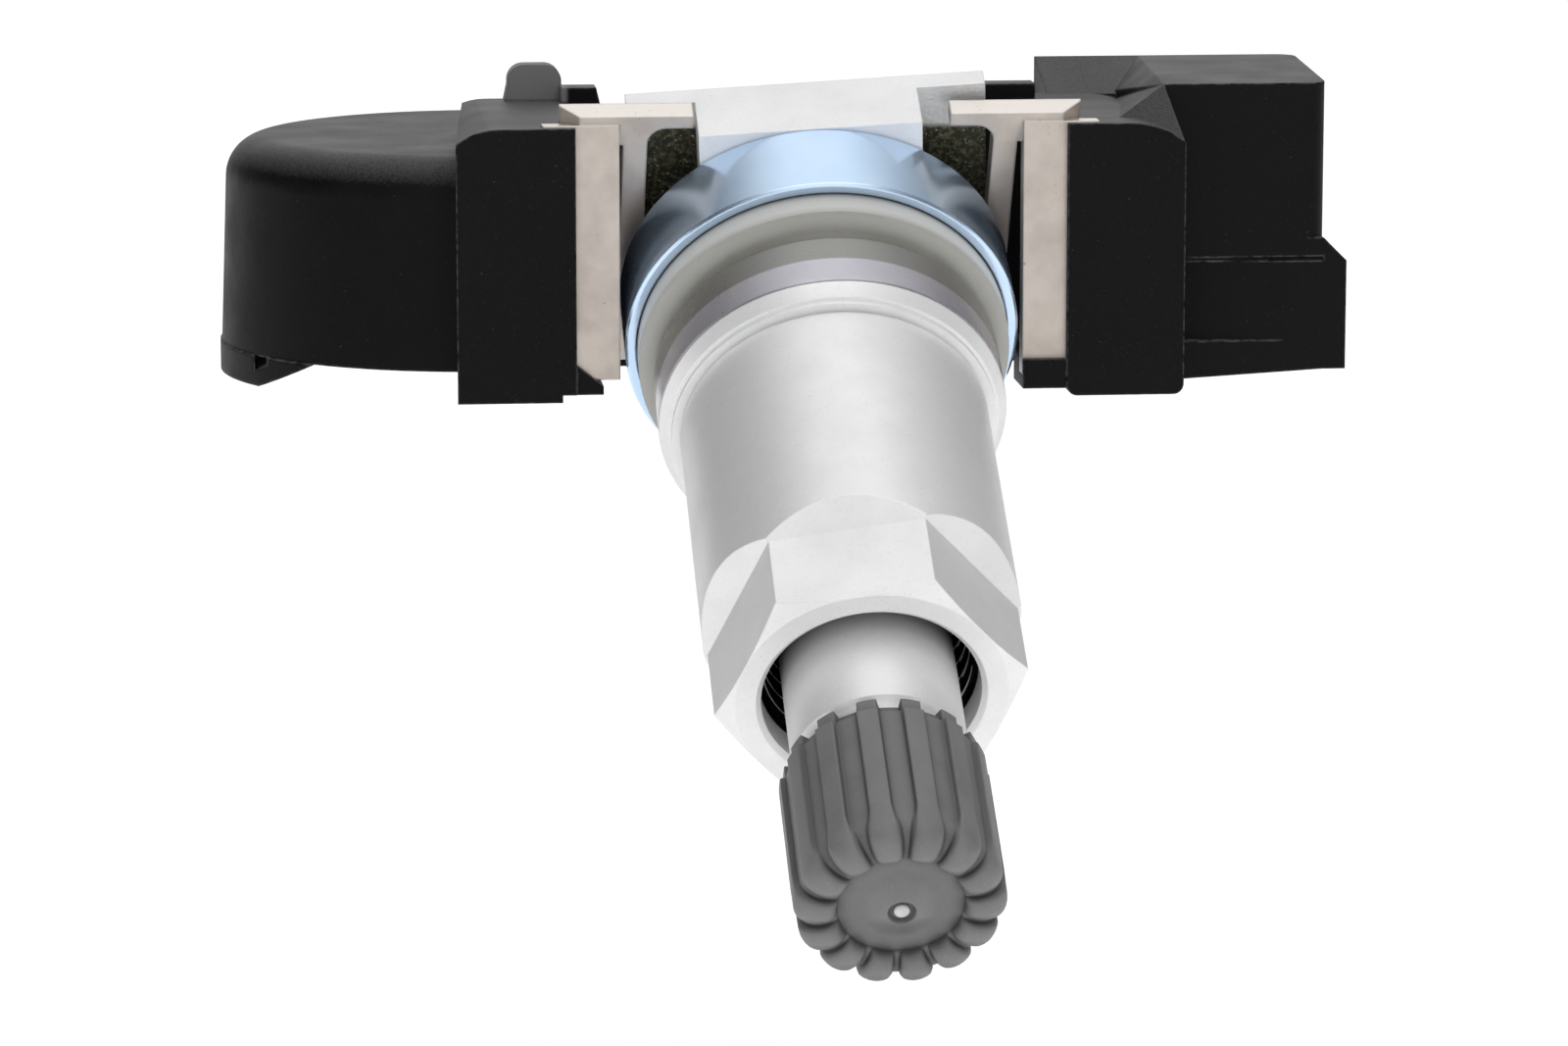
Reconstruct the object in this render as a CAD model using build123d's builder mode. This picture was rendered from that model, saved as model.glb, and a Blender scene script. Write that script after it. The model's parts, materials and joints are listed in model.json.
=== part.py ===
"""Tyre pressure sensor with a clamp-in metal valve, one solid per piece, in millimetres.

The origin lies on the valve axis, in the plane where the rubber grommet seals on the wheel rim.
X runs along the sensor housing, Y away from the viewer and Z up.
"""
import os
from math import cos, radians, sin

from build123d import *

os.makedirs("parts", exist_ok=True)

# Fits between pieces
press_gap = 0.02
slide_gap = 0.06
cover_gap = 0.05

# Valve axis and the turn of the valve in its slot
stem_dip = 30.7
head_turn = 4.0

# Valve positions along the axis, measured from the rim seat towards the cap
head_back = -10.5
plate_front = -7.55
ring_back = -6.56
ring_front = -2.3
washer_thickness = 3.25
washer_lift = 0.05
nut_length = 19.2
stem_thread_end = 14.0
tube_end = 26.6
stem_end = 34.4

# Valve head and neck
head_inset = 0.83
head_top = 9.2
head_bottom = -4.6
head_crown = 0.5
head_play = 0.1
neck_width = 10.4
neck_bottom = -3.2
edge_break = 0.3

# Stem radii
core_radius = 5.0
stem_thread_radius = 4.78
tube_radius = 3.85
cap_thread_radius = 3.6
stem_chamfer = 0.4

# Air passage and valve core
air_radius = 1.3
chamber_radius = 2.0
mouth_radius = 2.6
chamber_length = 8.0
gasket_cone = 1.0
gasket_length = 1.4
plug_length = 3.8
plug_depth = 1.2
plug_hole_radius = 0.95
barrel_radius = 1.75
barrel_wall = 0.3
barrel_length = 4.5
barrel_floor = 0.4
barrel_hole_radius = 0.85
core_neck_radius = 1.5
wrench_slot_width = 1.2
wrench_slot_depth = 1.4
pin_radius = 0.45
pin_depth = 0.4
pin_tail = 1.9
pin_head_radius = 0.7
pin_head_length = 0.8
pin_collar_radius = 1.25
pin_collar_rise = 0.2
pin_collar_thickness = 0.4
cup_radius = 1.55
cup_thickness = 0.9
spring_wire = 0.26
spring_radius = 1.05
spring_turns = 5
spring_wire_sides = 8

# Support ring, grommet and washer
ring_radius = 9.22
ring_rim = 0.5
ring_recess = 0.6
ring_edge = 0.12
grommet_side_gap = 0.06
grommet_round = 1.0
grommet_neck_wall = 0.6
grommet_neck_length = 2.8
washer_radius = 8.04
washer_edge = 0.12

# Nut
nut_collar_slope = 0.65
nut_collar_inset = 0.42
nut_ridge_height = 0.38
nut_ridge_length = 0.28
nut_groove_depth = 0.12
nut_groove_length = 0.16
nut_radius = 7.1
nut_flat = 6.0
nut_flat_length = 4.4
nut_end_face_radius = 6.0
nut_end_chamfer = 0.55
nut_turn = 10.0
nut_bore_chamfer = 0.25

# Cap
cap_mouth_gap = 0.5
cap_wall = 0.59
cap_rib_height = 0.25
cap_rib_count = 14
cap_rib_width = 1.05
cap_rib_root = 0.25
cap_rib_round = 0.9
cap_rib_setback = 0.12
cap_collar_drop = 0.25
cap_collar_length = 0.45
cap_end_curve = 1.5
cap_recess_radius = 2.95
cap_recess_depth = 0.5
cap_dome_radius = 2.2
cap_dome_height = 0.35
cap_floor = 0.93
seal_gap = 0.05
seal_thickness = 0.6

# Bracket
plate_thickness = 1.05
plate_top = 9.25
plate_bottom = -5.2
slit_width = 0.22
slot_half_width = 6.0
slot_bottom = -3.7
window_rim = 1.13
window_bottom = 2.0
window_top = 8.55
window_round = 0.9
band_inset = 0.8
band_point = 0.9
band_bottom = 7.6
ear_gap = 0.23
ear_width = 3.55
ear_embed = 1.5
ear_front = 1.9
ear_bottom = -0.5
ear_top = 11.4

# Housing
pillar_width = 5.55
pillar_front = 1.5
pillar_back = 15.6
pillar_top = 11.3
pillar_foot = -1.5
pillar_foot_inset = 0.65
pillar_draft = 0.9
shoulder_width = 2.6
shoulder_drop = 0.95
left_shoulder_width = 2.0
left_shoulder_drop = 0.7
foot_round = 0.5
shell_bottom = -0.45
wall = 1.2
drum_offset = 3.8
drum_y = 17.2
drum_wall = 3.3
drum_flare = 0.4
drum_taper = 2.2
drum_top = 9.5
drum_round = 2.0
body_back = 28.0
back_round = 4.0
pocket_gap = 0.18
pocket_step = 6.5
bridge_front = 12.9
rear_wall = 1.6
rear_wall_top = 12.05
rear_wall_low = 9.6
rear_tab_left = 2.3
rear_tab_right = 3.3
rear_tab_round = 0.6
box_width = 7.35
box_front = 5.5
box_back = 19.8
box_top = 12.7
box_bottom = -1.0
box_round = 1.0
box_shoulder = 1.0
box_overlap = 0.45
box_splay = 1.0
gusset_width = 4.55
gusset_root = 1.05
gusset_setback = 1.5
facet_inset = 1.0
facet_run = 2.4
facet_drop = 2.0
ramp_left_inset = 0.9
ramp_right_inset = 1.65
ramp_overlap = 0.6
flange_width = 1.1
flange_top = 4.2
flange_slope = 1.1
step_groove = 0.22
panel_depth = 0.5
panel_bottom = 0.4
panel_short = 1.8
keel_drop = 0.45
toe_front = 1.6
toe_depth = 3.3
toe_top = 0.25
toe_bottom = -1.15
toe_tip = -0.75
toe_left_width = 1.25
sill_front = 10.9
sill_top = -0.2
sill_bottom = -1.2
foot_left_height = 1.45
foot_left_offset = 8.3
foot_left_step = 0.08
foot_left_slope = 2.6
notch_width = 1.0
notch_depth = 0.75
notch_turn = 30.0
lug_inset = 2.5
lug_width = 2.6
lug_thickness = 1.4
lug_height = 1.75
lug_round = 0.8
lug_flare = 0.25
lug_flare_height = 0.8
lug_rib_length = 1.4
lug_root = 0.4
port_inset = 6.4
port_y = 21.0
port_radius = 1.0

# Inside the housing
cover_thickness = 1.3
cover_ledge = 0.6
roof = 1.4
post_radius = 1.0
board_lift = 0.7
board_thickness = 0.8
board_cell_gap = 1.6
board_margin = 0.4
cell_offset = 2.3
cell_y = 18.2
cell_radius = 8.0
cell_thickness = 3.2
cell_can_step = 0.5
cell_space = 0.9
cell_post_radius = 3.0
tab_width = 3.0
tab_thickness = 0.2
tab_foot = 1.6
tab_reach = 5.0
tab_upper_y = 21.5
tab_lower_y = 17.0
chip_width = 5.2
chip_depth = 5.2
chip_height = 1.9
chip_port_radius = 0.6
crystal_width = 3.2
crystal_depth = 2.5
crystal_height = 0.8
crystal_y = 12.0
coil_x = 3.5
coil_y = 20.4
coil_length = 7.6
coil_depth = 3.0
coil_height = 2.6
coil_flange = 1.1
coil_waist = 0.6
filter_thickness = 0.3
filter_radius = 1.7

# Valve directions and working planes
dip = radians(stem_dip)
valve_out = Vector(0, -cos(dip), -sin(dip))
valve_axis = Axis((0, 0, 0), valve_out)
valve_plane = Plane(origin=(0, 0, 0), x_dir=(1, 0, 0), z_dir=valve_out)
radius_plane = Plane(origin=(0, 0, 0), x_dir=(1, 0, 0), z_dir=(0, sin(dip), -cos(dip)))


def side_plane(turn):
    """Plane through the valve axis: x along the valve, y square to it, turned about the axis."""
    angle = radians(turn)
    across = Vector(cos(angle), -sin(dip) * sin(angle), cos(dip) * sin(angle))
    return Plane(origin=(0, 0, 0), x_dir=valve_out, z_dir=-across)


# Positions that follow from the driving sizes
plate_back = plate_front - plate_thickness
head_front = plate_back - head_play
head_middle = (head_top + head_bottom) / 2
grommet_back = ring_front - ring_recess
grommet_radius = ring_radius - ring_rim - grommet_side_gap
grommet_neck_radius = core_radius + grommet_neck_wall
plug_top = stem_end - plug_depth
plug_bottom = plug_top - plug_length
gasket_seat_top = plug_bottom - gasket_length
gasket_seat_bottom = gasket_seat_top - gasket_cone
chamber_bottom = gasket_seat_bottom - chamber_length
barrel_bottom = gasket_seat_bottom - barrel_length
pin_top = stem_end - pin_depth
pin_bottom = barrel_bottom - pin_tail
pin_collar_bottom = gasket_seat_bottom + pin_collar_rise
washer_front = washer_lift + washer_thickness
nut_back = washer_front + press_gap
nut_end = nut_back + nut_length
cap_start = tube_end + cap_mouth_gap
cap_bore_radius = cap_thread_radius + slide_gap
cap_valley_radius = cap_bore_radius + cap_wall
cap_rib_radius = cap_valley_radius + cap_rib_height
seal_bottom = stem_end + seal_gap
cap_floor_level = seal_bottom + seal_thickness + press_gap
cap_end = cap_floor_level + cap_floor
ear_inner = ring_radius + ear_gap
ear_outer = ear_inner + ear_width
plate_half_width = ear_inner - slit_width
window_half_width = plate_half_width - window_rim
band_half_width = ear_outer - band_inset
head_width = 2 * (plate_half_width - head_inset)
pocket_half_width = ring_radius + pocket_gap
pillar_inner = ear_outer - ear_embed
pillar_outer = pillar_inner + pillar_width
pillar_shoulder = pillar_outer - shoulder_width
drum_x = -(pillar_inner + drum_offset)
drum_radius = cell_radius + cell_space + drum_wall
box_right = pillar_outer + box_width
flange_right = box_right + flange_width
port_x = box_right - port_inset
cell_x = drum_x - cell_offset
board_left = cell_x + cell_radius + board_cell_gap
cover_top = shell_bottom + cover_thickness
board_bottom = cover_top + board_lift
board_top = board_bottom + board_thickness
cell_bottom = board_top + tab_thickness
cell_top = cell_bottom + cell_thickness
passage_front = bridge_front + rear_wall
hollow_top = drum_top - roof


def inner_outline(plane, inset):
    """Outline of the hollow: the round cell pocket, the passage behind the valve and the box."""
    right = box_right - wall - inset
    back = body_back - wall - inset
    with BuildSketch(plane) as outline:
        with Locations((cell_x, cell_y)):
            Circle(cell_radius + cell_space - inset)
        with Locations(((cell_x + right) / 2, (passage_front + inset + back) / 2)):
            Rectangle(right - cell_x, back - passage_front - inset)
        with Locations(((pillar_inner + wall + inset + right) / 2, (box_front + wall + inset + back) / 2)):
            Rectangle(right - pillar_inner - wall - inset, back - box_front - wall - inset)
    return outline.sketch


def circles_of(piece, radius):
    """Round edges of one radius on a piece that is being built."""
    rounds = piece.edges().filter_by(GeomType.CIRCLE)
    return rounds.filter_by(lambda edge: abs(edge.radius - radius) < press_gap)


# Valve stem: crowned cross bar, neck and turned stem with its air passage
with BuildPart() as valve_stem:
    with BuildSketch(side_plane(head_turn)):
        with BuildLine():
            low_front = (head_front - head_crown, head_bottom)
            high_front = (head_front - head_crown, head_top)
            ThreePointArc(low_front, (head_front, head_middle), high_front)
            Polyline(high_front, (head_back, head_top), (head_back, head_bottom), low_front)
        make_face()
    extrude(amount=head_width / 2, both=True)
    with BuildSketch(side_plane(head_turn)):
        with Locations(((head_back + ring_back) / 2, (head_top + neck_bottom) / 2)):
            Rectangle(ring_back - head_back, head_top - neck_bottom)
    extrude(amount=neck_width / 2, both=True)
    chamfer(valve_stem.edges().filter_by(GeomType.LINE).group_by(Axis(Vector(0, 0, 0), valve_out))[0],
            length=edge_break)
    with BuildSketch(radius_plane):
        with BuildLine():
            Polyline(
                (0, ring_back),
                (core_radius, ring_back),
                (core_radius, grommet_neck_length),
                (stem_thread_radius, grommet_neck_length),
                (stem_thread_radius, stem_thread_end - stem_chamfer),
                (stem_thread_radius - stem_chamfer, stem_thread_end),
                (tube_radius, stem_thread_end),
                (tube_radius, tube_end - stem_chamfer / 2),
                (cap_thread_radius, tube_end),
                (cap_thread_radius, stem_end - stem_chamfer),
                (cap_thread_radius - stem_chamfer, stem_end),
                (0, stem_end),
                close=True,
            )
        make_face()
    revolve(axis=valve_axis)
    with BuildSketch(radius_plane):
        with BuildLine():
            Polyline(
                (0, head_back),
                (air_radius, head_back),
                (air_radius, chamber_bottom),
                (chamber_radius, chamber_bottom),
                (chamber_radius, gasket_seat_bottom),
                (mouth_radius, gasket_seat_top),
                (mouth_radius, stem_end),
                (0, stem_end),
                close=True,
            )
        make_face()
    revolve(axis=valve_axis, mode=Mode.SUBTRACT)

# Valve core: plug and barrel in one, slotted for the core wrench
with BuildPart() as core_body:
    with BuildSketch(radius_plane):
        with BuildLine():
            Polyline(
                (barrel_hole_radius, barrel_bottom),
                (barrel_radius, barrel_bottom),
                (barrel_radius, gasket_seat_bottom),
                (core_neck_radius, gasket_seat_bottom),
                (core_neck_radius, plug_bottom),
                (mouth_radius - slide_gap, plug_bottom),
                (mouth_radius - slide_gap, plug_top),
                (plug_hole_radius, plug_top),
                (plug_hole_radius, gasket_seat_top),
                (core_neck_radius - barrel_wall / 2, gasket_seat_top - barrel_wall),
                (core_neck_radius - barrel_wall / 2, gasket_seat_bottom),
                (barrel_radius - barrel_wall, gasket_seat_bottom - barrel_wall),
                (barrel_radius - barrel_wall, barrel_bottom + barrel_floor),
                (barrel_hole_radius, barrel_bottom + barrel_floor),
                close=True,
            )
        make_face()
    revolve(axis=valve_axis)
    with BuildSketch(valve_plane.offset(plug_top)):
        Rectangle(2 * mouth_radius, wrench_slot_width)
    extrude(amount=-wrench_slot_depth, mode=Mode.SUBTRACT)

# Gasket of the core, pressed into the cone of the stem
with BuildPart() as core_gasket:
    with BuildSketch(radius_plane):
        with BuildLine():
            Polyline(
                (core_neck_radius + press_gap, gasket_seat_bottom + press_gap),
                (chamber_radius - press_gap, gasket_seat_bottom + press_gap),
                (mouth_radius - press_gap, gasket_seat_top + press_gap),
                (mouth_radius - press_gap, plug_bottom - press_gap),
                (core_neck_radius + press_gap, plug_bottom - press_gap),
                close=True,
            )
        make_face()
    revolve(axis=valve_axis)

# Pin of the core with the collar that the spring lifts
with BuildPart() as core_pin:
    with BuildSketch(radius_plane):
        with BuildLine():
            Polyline(
                (0, pin_bottom),
                (pin_radius, pin_bottom),
                (pin_radius, pin_collar_bottom),
                (pin_collar_radius, pin_collar_bottom),
                (pin_collar_radius, pin_collar_bottom + pin_collar_thickness),
                (pin_radius, pin_collar_bottom + pin_collar_thickness),
                (pin_radius, pin_top - pin_head_length),
                (pin_head_radius, pin_top - pin_head_length),
                (pin_head_radius, pin_top),
                (0, pin_top),
                close=True,
            )
        make_face()
    revolve(axis=valve_axis)

# Sealing cup on the inner end of the pin
with BuildPart() as core_cup:
    with BuildSketch(valve_plane.offset(barrel_bottom - press_gap)):
        Circle(cup_radius)
        Circle(pin_radius + press_gap, mode=Mode.SUBTRACT)
    extrude(amount=-cup_thickness)

# Spring between the floor of the barrel and the collar of the pin
spring_start = barrel_bottom + barrel_floor + spring_wire / 2 + press_gap
spring_end = pin_collar_bottom - spring_wire / 2 - press_gap
spring_rise = spring_end - spring_start
with BuildPart() as core_spring:
    with BuildLine():
        coil_line = Helix(
            pitch=spring_rise / spring_turns,
            height=spring_rise,
            radius=spring_radius,
            center=valve_out * spring_start,
            direction=valve_out,
        )
    with BuildSketch(Plane(origin=coil_line @ 0, z_dir=coil_line % 0)):
        RegularPolygon(spring_wire / 2, spring_wire_sides)
    sweep(path=coil_line, is_frenet=True)

# Blue plated cup ring that carries the grommet
with BuildPart() as support_ring:
    with BuildSketch(radius_plane):
        with BuildLine():
            Polyline(
                (core_radius + press_gap, ring_back + press_gap),
                (ring_radius, ring_back + press_gap),
                (ring_radius, ring_front),
                (ring_radius - ring_rim, ring_front),
                (ring_radius - ring_rim, grommet_back),
                (core_radius + press_gap, grommet_back),
                close=True,
            )
        make_face()
    revolve(axis=valve_axis)
    chamfer(circles_of(support_ring, ring_radius), length=ring_edge)

# Rubber grommet: sealing disc and the neck that passes through the rim
with BuildPart() as grommet:
    with BuildSketch(radius_plane):
        with BuildLine():
            round_start = (grommet_radius, -grommet_round)
            round_end = (grommet_radius - grommet_round, 0)
            Polyline(
                round_end,
                (grommet_neck_radius, 0),
                (grommet_neck_radius, grommet_neck_length),
                (core_radius + press_gap, grommet_neck_length),
                (core_radius + press_gap, grommet_back + press_gap),
                (grommet_radius, grommet_back + press_gap),
                round_start,
            )
            RadiusArc(round_start, round_end, grommet_round)
        make_face()
    revolve(axis=valve_axis)

# Thick plated washer under the nut
with BuildPart() as nut_washer:
    with BuildSketch(valve_plane.offset(washer_lift)):
        Circle(washer_radius)
        Circle(grommet_neck_radius + slide_gap, mode=Mode.SUBTRACT)
    extrude(amount=washer_thickness)
    chamfer(circles_of(nut_washer, washer_radius), length=washer_edge)

# Long nut: sloped collar, sleeve and a hexagon that runs out on the sleeve
ridge_start = nut_back + nut_collar_slope
groove_start = ridge_start + nut_ridge_length
flat_start = nut_end - nut_flat_length
flat_depth = nut_radius - nut_flat
with BuildPart() as nut:
    with BuildSketch(radius_plane):
        with BuildLine():
            Polyline(
                (stem_thread_radius + slide_gap, nut_back),
                (washer_radius, nut_back),
                (washer_radius - nut_collar_inset, ridge_start),
                (nut_radius + nut_ridge_height, ridge_start),
                (nut_radius + nut_ridge_height, groove_start),
                (nut_radius - nut_groove_depth, groove_start),
                (nut_radius - nut_groove_depth, groove_start + nut_groove_length),
                (nut_radius, groove_start + nut_groove_length),
                (nut_radius, nut_end - nut_end_chamfer),
                (nut_end_face_radius, nut_end),
                (stem_thread_radius + slide_gap + nut_bore_chamfer, nut_end),
                (stem_thread_radius + slide_gap, nut_end - nut_bore_chamfer),
                close=True,
            )
        make_face()
    revolve(axis=valve_axis)
    for side in range(6):
        with BuildSketch(side_plane(nut_turn + side * 60)):
            with BuildLine():
                Polyline(
                    (flat_start, nut_flat),
                    (nut_end, nut_flat),
                    (nut_end, nut_radius + flat_depth),
                    (flat_start - 2 * flat_depth, nut_radius + flat_depth),
                    close=True,
                )
            make_face()
        extrude(amount=nut_radius, both=True, mode=Mode.SUBTRACT)

# Ribbed cap: the ribs end as separate fingers around a dish with a low dome
cap_recess_floor = cap_end - cap_recess_depth
cap_collar_end = cap_start + cap_collar_length
rib_step = 360 / cap_rib_count
rib_root = cap_bore_radius + cap_rib_root
finger_inner = cap_recess_radius + cap_rib_setback
rib_root_level = (cap_floor_level + cap_recess_floor) / 2
with BuildPart() as cap:
    with BuildSketch(radius_plane):
        with BuildLine():
            dome_edge = (cap_dome_radius, cap_recess_floor)
            dome_tip = (0, cap_recess_floor + cap_dome_height)
            curve_start = (cap_valley_radius, cap_end - cap_end_curve)
            curve_end = (cap_recess_radius, cap_recess_floor)
            Polyline(
                dome_tip,
                (0, cap_floor_level),
                (cap_bore_radius, cap_floor_level),
                (cap_bore_radius, cap_start),
                (cap_valley_radius - cap_collar_drop, cap_start),
                (cap_valley_radius - cap_collar_drop, cap_collar_end),
                (cap_valley_radius, cap_collar_end),
                curve_start,
            )
            TangentArc(curve_start, curve_end, tangent=(0, 1))
            Line(curve_end, dome_edge)
            TangentArc(dome_tip, dome_edge, tangent=(1, 0))
        make_face()
    revolve(axis=valve_axis)
    for rib in range(cap_rib_count):
        with BuildSketch(side_plane((rib + 1 / 2) * rib_step)):
            with BuildLine():
                finger_start = (cap_end - cap_rib_round, cap_rib_radius)
                finger_end = (cap_end, cap_rib_radius - cap_rib_round)
                TangentArc(finger_start, finger_end, tangent=(1, 0))
                Polyline(
                    finger_end,
                    (cap_end, finger_inner),
                    (rib_root_level, finger_inner),
                    (rib_root_level, rib_root),
                    (cap_start, rib_root),
                    (cap_start, cap_rib_radius - cap_collar_drop),
                    (cap_collar_end, cap_rib_radius - cap_collar_drop),
                    (cap_collar_end, cap_rib_radius),
                    finger_start,
                )
            make_face()
        extrude(amount=cap_rib_width / 2, both=True)

# Rubber disc in the bottom of the cap
with BuildPart() as cap_seal:
    with BuildSketch(valve_plane.offset(seal_bottom)):
        Circle(cap_thread_radius)
    extrude(amount=seal_thickness)

# Plated bracket: plate square to the valve, top band and two upright ears
with BuildPart() as bracket:
    with BuildSketch(valve_plane.offset(plate_back)):
        with Locations((0, (plate_top + plate_bottom) / 2)):
            Rectangle(2 * plate_half_width, plate_top - plate_bottom)
        with Locations((0, (plate_top + band_bottom) / 2)):
            Rectangle(2 * band_half_width, plate_top - band_bottom)
        with Locations((0, (plate_top + slot_bottom) / 2)):
            Rectangle(2 * slot_half_width, plate_top - slot_bottom, mode=Mode.SUBTRACT)
        window_height = window_top - window_bottom
        with Locations((0, window_bottom + window_height / 2)):
            RectangleRounded(2 * window_half_width, window_height, window_round, mode=Mode.SUBTRACT)
    extrude(amount=plate_thickness)
    band_ends = bracket.edges().filter_by(lambda edge: abs(edge.center().X) > band_half_width - press_gap)
    chamfer(band_ends.group_by(valve_axis)[-1], length=band_point)
    ear_middle = (ear_inner + ear_outer) / 2
    with BuildSketch(Plane.XZ.offset(-ear_front)):
        with Locations((-ear_middle, (ear_top + ear_bottom) / 2), (ear_middle, (ear_top + ear_bottom) / 2)):
            Rectangle(ear_outer - ear_inner, ear_top - ear_bottom)
    extrude(amount=-plate_thickness)

# Left pillar of the housing, drawn in towards the back, with a stepped foot
with BuildPart() as left_pillar:
    with BuildSketch(Plane.XZ.offset(-pillar_front)):
        with BuildLine():
            left_shoulder_start = (left_shoulder_width - pillar_outer, pillar_top)
            left_shoulder_end = (-pillar_outer, pillar_top - left_shoulder_drop)
            Polyline(
                left_shoulder_end,
                (-pillar_outer, pillar_foot),
                (-pillar_inner - pillar_foot_inset, pillar_foot),
                (-pillar_inner - pillar_foot_inset, toe_bottom),
                (-pillar_inner, toe_bottom),
                (-pillar_inner, pillar_top),
                left_shoulder_start,
            )
            TangentArc(left_shoulder_start, left_shoulder_end, tangent=(-1, 0))
        make_face()
    extrude(amount=-(pillar_back - pillar_front))
    with BuildSketch(Plane.XY.offset(pillar_foot)):
        with BuildLine():
            Polyline(
                (-pillar_outer, pillar_front),
                (-pillar_outer + pillar_draft, pillar_back),
                (-pillar_outer, pillar_back),
                close=True,
            )
        make_face()
    extrude(amount=pillar_top - pillar_foot, mode=Mode.SUBTRACT)

# Left and right walls of the electronics box, the right one splayed towards the back
box_left = pillar_outer - box_overlap
box_back_left = pillar_outer - ramp_right_inset
right_run = Vector(box_splay, box_back - box_front, 0).normalized()
right_start = Vector(box_right, box_front, 0) - right_run * box_overlap
right_wall_plane = Plane(origin=right_start, x_dir=(right_run.Y, -right_run.X, 0), z_dir=-right_run)

# Gusset that rises from the right pillar to the front corner of the box
box_corner = Vertex(box_left, box_front, box_top)
with BuildSketch(Plane.XY.offset(pillar_top - gusset_root)) as gusset_base:
    with BuildLine():
        Polyline(
            (pillar_outer, pillar_front),
            (pillar_outer - gusset_width, pillar_front + gusset_setback),
            (box_back_left, box_back),
            (pillar_outer, box_back),
            close=True,
        )
    make_face()
with BuildPart() as gusset:
    loft(sections=[gusset_base.sketch.face(), box_corner])

# Wedge that takes the left edge off the top of the box, from nothing at the front corner
facet_edge = box_left + facet_inset
with BuildSketch(Plane.XZ.offset(-box_back)) as facet_end:
    with BuildLine():
        Polyline(
            (facet_edge, box_top),
            (facet_edge - facet_run, box_top - facet_drop),
            (facet_edge - facet_run, box_top),
            close=True,
        )
    make_face()
with BuildPart() as facet:
    loft(sections=[facet_end.sketch.face(), box_corner])

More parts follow.
